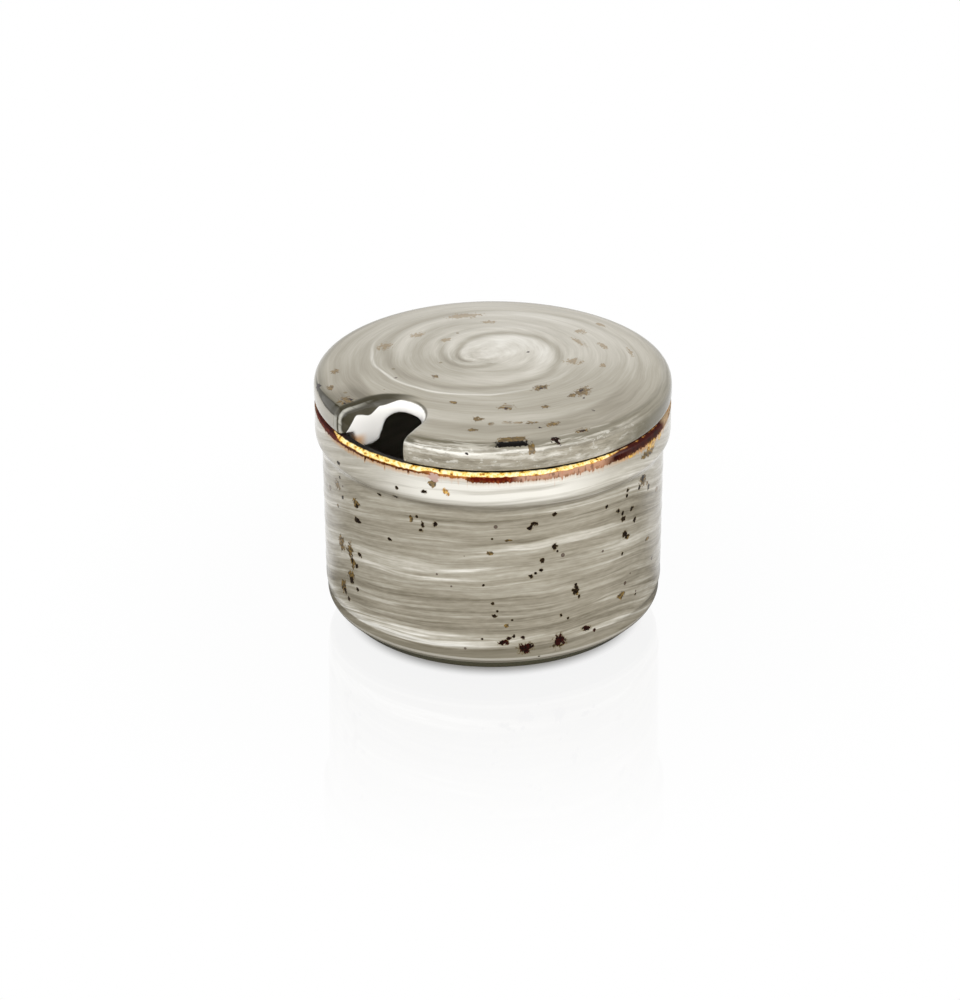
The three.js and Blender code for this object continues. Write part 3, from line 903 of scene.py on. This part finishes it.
        # Painted highlights: the lightest of the gold's random tones
        gold = self.ramp(self.noise(self.place, 800, 3, 0.65), GOLD_AND_HIGHLIGHT_TONES)
        gold = self.blend(self.span(above_gold, *mm(0, 0.25)), LUSTRE_EDGE, gold)
        gilt = self.times(self.span(above_gold, *mm(-0.1, 0.1)), outer)
        colour = self.blend(gilt, colour, gold)

        banded = self.times(in_band, self.span(self.off_front, 0.7, 0.95))
        roughness = self.scaled(banded, BAND_ROUGHNESS, roughness)
        return colour, self.scaled(self.times(on_top, self.minus(1, gilt)), LIP_ROUGHNESS, roughness)


class LidGlaze(Glaze):
    """Glaze brushed in a spiral, with iron marks and white porcelain in the notch, and with painted shade,
    highlights and a painted reflection on the dome, the shoulder, the front edge, the notch's lip and the ring.
    """

    def __init__(self):
        super().__init__("brushed_lid_glaze")
        self.x, self.y, self.z = self.split(self.place)
        self.flat = self.vector("MULTIPLY", self.place, FLAT)
        self.radius = self.vector("LENGTH", self.flat)
        self.angle = self.calc("ARCTAN2", self.x, self.times(self.y, -1))
        self.frontward = self.calc("COSINE", self.minus(self.angle, FRONT_TURN))
        squared = self.times(self.radius, self.radius)
        dome = self.scaled(squared, -0.5 / (LID_DOME * MM), (SEAT + LID_CROWN) * MM)
        self.depth = self.minus(dome, self.z)
        self.along = self.plus(self.radius, self.depth)

        # Distance from the notch's wall, in plan
        rise = self.minus(self.y, NOTCH_CENTRE * MM)
        wide = self.calc("ABSOLUTE", self.x)
        spread = self.calc("SQRT", self.scaled(rise, rise, self.times(wide, wide)))
        off_round = self.most(self.minus(NOTCH_FLARE, self.calc("ARCTAN2", rise, wide)), 0)
        self.from_wall = self.scaled(spread, self.calc("COSINE", off_round), -NOTCH_RADIUS * MM)

        # Brush strokes follow the spiral
        pull = self.fade(self.radius, *mm(*SPIRAL_EVEN))
        centre = self.vector("MULTIPLY", self.join(pull, pull), (*mm(*SPIRAL_CENTRE), 0))
        wander = self.noise(self.flat, 60, colour=True)
        wander = self.vector("MULTIPLY_ADD", wander, (*mm(3, 3), 0), (*mm(-1.5, -1.5), 0))
        eye_gap = self.vector("DISTANCE", self.flat, (*mm(*SPIRAL_EYE), 0))
        drawn = self.join(y=self.fade(eye_gap, 0, EYE_SPREAD * MM, EYE_SHIFT * MM))
        brushed = self.vector("SUBTRACT", self.flat, centre)
        brushed = self.vector("ADD", brushed, self.vector("ADD", wander, drawn))
        across, up, _ = self.split(brushed)
        self.reach = self.vector("LENGTH", brushed)
        self.turn = self.calc("ARCTAN2", across, self.times(up, -1))
        turns = self.scaled(self.turn, 1 / FULL_TURN, -SPIRAL_START)
        self.phase = self.scaled(self.reach, 1 / (SPIRAL_PITCH * MM), turns)
        outward = self.vector("MULTIPLY", self.vector("NORMALIZE", brushed), (*mm(20, 20), 0))
        self.round_place = self.vector("ADD", outward, self.join(z=self.plus(self.reach, self.depth)))
        self.streaks = self.strokes(self.round_place, 60, 560, 4, 0.6)
        self.hairs = self.strokes(self.round_place, 110, 2200, 3, 0.7)
        self.broken = self.strokes(self.round_place, 160, 900)

    def paint(self):
        colour = self.brush_spiral_and_paint_shade()
        colour = self.paint_shoulder_shade_and_highlight(colour)
        colour = self.paint_front_highlight_and_shade(colour)
        colour, dark = self.mark_top(colour)
        colour = self.paint_notch_lip_shade_and_highlights(colour)
        colour = self.porcelain_and_gold_reflection(colour)
        roughness = self.span(dark, 0.6, 1.0, MARK_ROUGHNESS, LID_ROUGHNESS)
        return self.finish(colour, roughness, self.plus(self.hairs, self.streaks), LID_BUMP)

    def spiral_band(self, place, width):
        """1 on the line at this place between the spiral's turns, 0 beyond the width to either side."""
        gap = self.calc("PINGPONG", self.minus(self.phase, place), 0.5)
        return self.fade(gap, 0.0, width / SPIRAL_PITCH)

    def brush_spiral_and_paint_shade(self):
        broad = self.strokes(self.round_place, 38, 130)
        tone = self.scaled(broad, 0.35, self.scaled(self.streaks, 0.24, 0.19))
        tone = self.scaled(self.hairs, 0.22, tone)
        groove = self.between(self.reach, mm(1, 4), mm(4, 36), 0.2, 0.05)
        tone = self.minus(tone, self.times(groove, self.spiral_band(0, GROOVE_WIDTH)))
        groove = self.between(self.reach, mm(2, 6), mm(12, 18), 0.13)
        tone = self.minus(tone, self.times(groove, self.spiral_band(SECOND_GROOVE, GROOVE_WIDTH)))
        light = self.span(self.reach, *mm(20, 34), 0.12, 0.04)
        tone = self.scaled(self.spiral_band(LIGHT_BAND, LIGHT_BAND_WIDTH), light, tone)
        tone = self.plus(tone, self.fade(self.reach, *mm(8, 21), 0.08))

        # Painted shade and light: darker towards the front, beside the notch and to the left, lighter at the back
        painted_shade = self.between(self.radius, *OUTER_SHADE, 0.16, 0.08)
        painted_shade = self.times(painted_shade, self.span(self.frontward, -0.1, 0.5))
        by_notch = self.vector("DISTANCE", self.flat, NOTCH_SHADE_CENTRE)
        painted_shade = self.plus(painted_shade, self.fade(by_notch, *mm(3, 11), 0.2))
        tone = self.plus(self.minus(tone, painted_shade), self.fade(self.frontward, -0.9, 0.3, 0.11))
        to_left = self.calc("COSINE", self.minus(self.angle, LEFT_TURN))
        tone = self.minus(tone, self.span(to_left, 0.3, 1.0, 0.0, 0.06))

        ridge = self.times(
            self.spiral_band(BRIGHT_RIDGE, RIDGE_WIDTH),
            self.span(self.streaks, 0.34, 0.54, 0.15, 0.75),
            self.span(self.calc("ABSOLUTE", self.turn), 0.5, 1.4, 1.0, 0.15),
            self.span(self.reach, *mm(6, 20), 0.3, 1.0),
            self.span(self.reach, *mm(30, 40), 1, 0.3),
        )
        return self.blend(ridge, self.ramp(tone, LID_TONES), GLAZE_WHITE_AND_HIGHLIGHT)

    def paint_shoulder_shade_and_highlight(self, colour):
        """Painted shade: the shoulder is olive-dark all round, more so at the front, and darkest in a band left of
        the notch. Painted highlight: a light strip on the upright edge left of the notch.
        """
        # Painted shade: the shoulder olive-dark all round, more so at the front
        olive = self.times(
            self.between(self.along, *SHOULDER),
            self.span(self.streaks, 0.3, 0.6, 0.58, 0.34),
            self.span(self.frontward, 0.2, 0.9, 1.0, 1.5),
        )
        colour = self.blend(olive, colour, SHOULDER_SHADE_OLIVE)
        # Painted highlight: a light strip on the upright edge left of the notch
        left_edge_highlight = self.times(self.span(self.along, *UPRIGHT_EDGE, 0, 0.32), self.between(self.angle, *FAR_LEFT))
        colour = self.blend(left_edge_highlight, colour, GLAZE_WHITE_AND_HIGHLIGHT)
        # Painted shade: a dark olive band along the shoulder left of the notch
        off_middle = self.calc("ABSOLUTE", self.minus(self.along, SHOULDER_MIDDLE))
        off_band = self.minus(off_middle, self.span(self.angle, -0.82, -0.28, *mm(0.1, 1.9)))
        off_band = self.scaled(self.noise(self.place, 500), 0.4 * MM, off_band)
        band = self.times(self.between(self.angle, *LEFT_OF_NOTCH), self.fade(off_band, *mm(-0.1, 0.3), 0.95))
        return self.blend(band, colour, SHOULDER_BAND_SHADE)

    def paint_front_highlight_and_shade(self, colour):
        """Painted highlights on the front edge right of the notch, as broken white strokes among dark and light
        mottles and blotches, and painted olive shade on the edge further right.
        """
        # Painted highlight: broken white strokes along the front edge right of the notch
        bright = self.times(
            self.between(self.along, *FRONT_HIGHLIGHT),
            self.between(self.angle, *RIGHT_OF_NOTCH),
            self.span(self.streaks, 0.42, 0.6, 0.0, 0.95),
            self.span(self.broken, 0.4, 0.54, 0.15, 1),
        )
        colour = self.blend(bright, colour, GLAZE_WHITE_AND_HIGHLIGHT)
        facing = self.times(self.span(self.frontward, 0.2, 0.8), self.span(self.angle, 0.1, 0.25))
        facing = self.times(facing, self.span(self.along, *FRONT_MOTTLE))
        rough = self.strokes(self.round_place, 120, 640, 4, 0.65)
        colour = self.blend(self.times(facing, self.fade(rough, 0.34, 0.48, 0.7)), colour, GLAZE_DARK)
        colour = self.blend(self.times(facing, self.span(rough, 0.52, 0.64, 0, 0.7)), colour, GLAZE_LIGHT_AND_HIGHLIGHT)
        facing = self.times(facing, self.span(self.along, *FRONT_BLOTCHES))
        blotches = self.strokes(self.place, 260, 620, 4, 0.7)
        colour = self.blend(self.times(facing, self.fade(blotches, 0.36, 0.48, 0.45)), colour, GLAZE_DARK)
        colour = self.blend(self.times(facing, self.span(blotches, 0.53, 0.64, 0, 0.5)), colour, GLAZE_WHITE_AND_HIGHLIGHT)
        # Painted shade: the far right edge olive-dark
        right_shade = self.times(self.span(self.along, *RIGHT_SHADE_EDGE), self.between(self.angle, *FAR_RIGHT, 0.74))
        return self.blend(right_shade, colour, SHOULDER_SHADE_OLIVE)

    def mark_top(self, colour):
        """Iron marks, of which the largest are squarish blocks on the front edge."""
        mark_place = self.join(self.angle, self.along)
        mottle = self.noise(self.place, 1500)
        lobes = self.noise(self.place, 1200, 3, 0.7)
        ragged_edge = self.scaled(lobes, 3.8, -1.75)
        block_edge = self.scaled(lobes, 1.6, -0.8)
        olive = self.plus(self.nearest_mark(mark_place, LID_OLIVE_MARKS), ragged_edge)
        dark = self.plus(self.nearest_mark(mark_place, LID_DARK_MARKS), ragged_edge)
        olive_block = self.plus(self.nearest_mark(mark_place, LID_OLIVE_BLOCKS, square=True), block_edge)
        dark_block = self.plus(self.nearest_mark(mark_place, LID_DARK_BLOCKS, square=True), block_edge)
        marked = self.times(
            self.fade(olive, 1.1, 1.42),
            self.span(self.broken, 0.34, 0.46, 0.3, 1),
            self.span(self.frontward, -0.5, 0.5, 0.65, 0.97),
        )
        marked = self.most(marked, self.fade(olive_block, 0.9, 1.1, 0.95))
        olive_colour = self.blend(self.span(mottle, 0.45, 0.58), DARK_OLIVE, OCHRE)
        olive_colour = self.blend(self.span(olive, 0.6, 1.0, 0.0, 0.3), olive_colour, DARK_OLIVE)
        olive_colour = self.blend(self.span(self.frontward, -0.6, 0.7, 0.55, 0.15), olive_colour, PALE_OCHRE)
        colour = self.blend(marked, colour, olive_colour)
        iron_colour = self.blend(self.span(mottle, 0.45, 0.65), IRON_BLACK, IRON_BROWN)
        colour = self.blend(self.fade(dark, 0.85, 1.1), colour, iron_colour)
        colour = self.blend(self.fade(dark_block, 0.9, 1.1), colour, BLOCK_BLACK)
        return self.blend(self.times(self.tiny_marks(300), 0.6), colour, OLIVE), dark

    def paint_notch_lip_shade_and_highlights(self, colour):
        """Painted shade and highlights on the notch's lip: the left lip is dark olive, with a light stroke along
        its roll and a light streak down its corner, and a dark line runs along the top of the right lip.
        """
        roughly = self.scaled(self.noise(self.place, 220, 3), 0.8 * MM, self.minus(self.from_wall, 0.4 * MM))
        # Painted shade: the left lip's roll in dark olive tones
        lip_colour = self.ramp(self.times(roughly, 1 / NOTCH_LIP_SPREAD), NOTCH_LIP_SHADE_TONES)
        # Painted highlights: a light stroke along the roll, and a light streak down the corner
        light = self.times(
            self.between(roughly, mm(0.4, 0.8), mm(1, 1.4)),
            self.fade(self.x, *mm(-11, -8.5)),
            self.span(self.broken, 0.3, 0.5, 0.5, 0.95),
        )
        beside = self.times(
            self.between(self.from_wall, mm(1.5, 1.8), mm(2.7, 3.1), 0.85),
            self.span(self.depth, *mm(1.4, 2.6)),
            self.span(self.radius, *mm(43.6, 44.4)),
        )
        lip_colour = self.blend(self.most(light, beside), lip_colour, NOTCH_HIGHLIGHT)
        left_lip_shade = self.times(
            self.fade(roughly, *mm(2.5, 3.4), 0.95),
            self.fade(self.x, *mm(-7, 3)),
            self.fade(self.y, *mm(-26, -24)),
        )
        colour = self.blend(left_lip_shade, colour, lip_colour)
        # Painted shade: a dark line along the top of the right lip
        right_lip_shade = self.times(
            self.between(self.depth, mm(0.3, 0.5), mm(0.9, 1.4), 0.85),
            self.fade(self.from_wall, *mm(3, 4.5)),
            self.span(self.x, *mm(-2, 2)),
        )
        return self.blend(right_lip_shade, colour, NOTCH_SHADE_OUTLINE)

    def porcelain_and_gold_reflection(self, colour):
        """The notch's wall, the ring and the hollow are white, with a painted yellow reflection of the rim's gold
        low on the ring by the notch.
        """
        edge = self.span(self.x, *mm(-8.3, -7.3), *mm(2.1, 0.5))
        edge = self.scaled(self.noise(self.place, 300), 0.5 * MM, edge)
        edge = self.plus(edge, self.fade(self.x, *mm(-7.3, -3.5), 1.2 * MM))
        edge = self.minus(edge, self.fade(self.x, *mm(-9.3, -8.3), 1 * MM))
        sloped = self.scaled(self.radius, -WHITE_SLOPE, self.plus(self.depth, WHITE_SLOPE * WHITE_RADIUS))
        white = self.calc("SMOOTH_MIN", self.minus(self.depth, edge), sloped, 1 * MM)
        white = self.span(white, *mm(-0.1, 0.2))
        # Painted reflection of the rim's gold, low on the ring by the notch
        gold_reflection = self.times(
            self.span(self.radius, *mm(36.5, 39.5)),
            self.fade(self.z, *mm(SEAT - 2.4, SEAT - 0.3)),
            self.fade(self.from_wall, *mm(1, 4)),
            self.fade(self.x, *mm(-4, 0), 0.75),
        )
        return self.blend(white, colour, self.blend(gold_reflection, PORCELAIN, PAINTED_GOLD_REFLECTION))


# Table and surroundings: distances from the pot's axis over which the table changes, and levels of light
CONTACT_SHADOW = mm(33.5, 39.5)
SOFT_SHADOW = mm(45, 130)
BEHIND_POT = mm(43, 58)
FAR_TABLE = mm(350, 800)
POLISHED = mm(45, 140)
SWEEP_TOP = (0.46, 0.7)  # sine of the elevation
ROOM_LEVEL = 0.25
FILL_LEVEL = 0.52


def make_floor():
    """A white table that keeps the dark line of contact under the pot, partly shadow and partly painted grey, and
    a faint blurred likeness of it. Where the glaze reflects it, the table round the pot is painted dark grey as
    shade, but white behind the pot and far off.
    """
    mesh = bmesh.new()
    bmesh.ops.create_grid(mesh, x_segments=1, y_segments=1, size=TABLE_HALF)
    floor = new_piece("white_table", mesh)
    material = bpy.data.materials.new("white_table_top")
    mixer = Mixer(material)
    place = mixer.add("ShaderNodeTexCoord").outputs["Object"]
    away = mixer.vector("LENGTH", place)
    behind = (-math.sin(CAMERA_AZIMUTH), math.cos(CAMERA_AZIMUTH), 0)
    rearward = mixer.calc("DIVIDE", mixer.vector("DOT_PRODUCT", place, behind), away)
    path = mixer.add("ShaderNodeLightPath").outputs
    seen, mirrored = path["Is Camera Ray"], path["Is Glossy Ray"]
    white = mixer.add("ShaderNodeEmission", {"Color": grey(1.0), "Strength": 1.0}).outputs[0]
    # Painted shade: the table's matt grey shows under the pot's edge where the camera sees it, and darker where
    # the glaze reflects it
    painted_shade_grey = mixer.blend(mirrored, grey(0.45), grey(0.12))
    matt = mixer.add("ShaderNodeBsdfDiffuse", {"Color": painted_shade_grey}).outputs[0]
    mirror = mixer.add("ShaderNodeBsdfGlossy", {"Color": grey(1.0), "Roughness": 0.04}).outputs[0]
    seen_white = mixer.plus(
        mixer.span(away, *CONTACT_SHADOW, 0.16, 0.97), mixer.span(away, *SOFT_SHADOW, 0.0, 0.03),
    )
    behind_pot = mixer.times(mixer.span(rearward, 0.05, 0.35), mixer.span(away, *BEHIND_POT))
    mirrored_white = mixer.most(mixer.span(away, *FAR_TABLE, 0.0, 0.9), behind_pot)
    shown = mixer.most(seen, mirrored, path["Is Transmission Ray"])
    share = mixer.times(shown, mixer.pick(seen, mirrored_white, seen_white))
    lit = mixer.add("ShaderNodeMixShader", {0: share, 1: matt, 2: white}).outputs[0]
    polish = mixer.times(mixer.fade(away, *POLISHED, 0.08), seen)
    top = mixer.add("ShaderNodeMixShader", {0: polish, 1: lit, 2: mirror}).outputs[0]
    mixer.output("ShaderNodeOutputMaterial", top)
    floor.data.materials.append(material)


def make_world():
    """A white sweep round the table, which reflections see fading into a dimmer room above."""
    world = bpy.data.worlds.new("white_sweep")
    scene.world = world
    mixer = Mixer(world)
    path = mixer.add("ShaderNodeLightPath").outputs
    upward = mixer.split(mixer.add("ShaderNodeTexCoord").outputs["Generated"])[2]
    sweep = mixer.span(upward, *SWEEP_TOP, 1.0, ROOM_LEVEL)
    level = mixer.pick(path["Is Glossy Ray"], FILL_LEVEL, sweep)
    seen = mixer.most(path["Is Camera Ray"], path["Is Transmission Ray"])
    level = mixer.pick(seen, level, 1.0)
    back = mixer.add("ShaderNodeBackground", {"Color": grey(1.0), "Strength": level}).outputs[0]
    mixer.output("ShaderNodeOutputWorld", back)


def make_lamp(name, azimuth, elevation, wide, tall, watts):
    """A softbox that looks at the pot. Azimuth runs from the notch's side, as the camera's does."""
    turn, rise = math.radians(azimuth), math.radians(elevation)
    towards = Vector((math.sin(turn) * math.cos(rise), -math.cos(turn) * math.cos(rise), math.sin(rise)))
    data = bpy.data.lights.new(name, "AREA")
    data.shape = "RECTANGLE"
    data.size = wide
    data.size_y = tall
    data.energy = watts
    lamp = bpy.data.objects.new(name, data)
    lamp.location = towards * LAMP_DISTANCE + Vector((0, 0, LAMP_AIM))
    lamp.rotation_euler = (-towards).to_track_quat("-Z", "Y").to_euler()
    lamp.visible_camera = False
    scene.collection.objects.link(lamp)


def make_camera():
    sine, cosine = math.sin(CAMERA_AZIMUTH), math.cos(CAMERA_AZIMUTH)
    level = math.cos(CAMERA_ELEVATION)
    right = Vector((cosine, sine, 0))
    back = Vector((sine * level, -cosine * level, math.sin(CAMERA_ELEVATION)))
    data = bpy.data.cameras.new("front_camera")
    data.lens = CAMERA_LENS
    data.sensor_width = CAMERA_SENSOR
    camera = bpy.data.objects.new("front_camera", data)
    turned = Matrix((right, back.cross(right), back)).transposed().to_4x4()
    target = Vector((0, 0, CAMERA_TARGET_HEIGHT)) + right * CAMERA_SIDE
    placed = Matrix.Translation(target + back * CAMERA_DISTANCE)
    camera.matrix_world = placed @ turned @ Matrix.Rotation(CAMERA_ROLL, 4, "Z")
    scene.collection.objects.link(camera)
    scene.camera = camera


make_camera()
make_world()
make_floor()

# Softboxes: azimuth, elevation, width and height in metres, watts
make_lamp("front_softbox", 44, 34, 1.1, 1.0, 5.5)
make_lamp("right_softbox", 106, 22, 1.4, 0.75, 3.5)
make_lamp("left_softbox", -46, 22, 1.5, 0.75, 3.3)

for piece, body, slot, material in (
    (make_pot(), "pot", "pot_glaze", PotGlaze().paint()),
    (make_lid(), "lid", "lid_glaze", LidGlaze().paint()),
):
    piece.data.materials.append(material)
    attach(piece, body)
    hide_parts(body)

scene.view_settings.view_transform = "Standard"
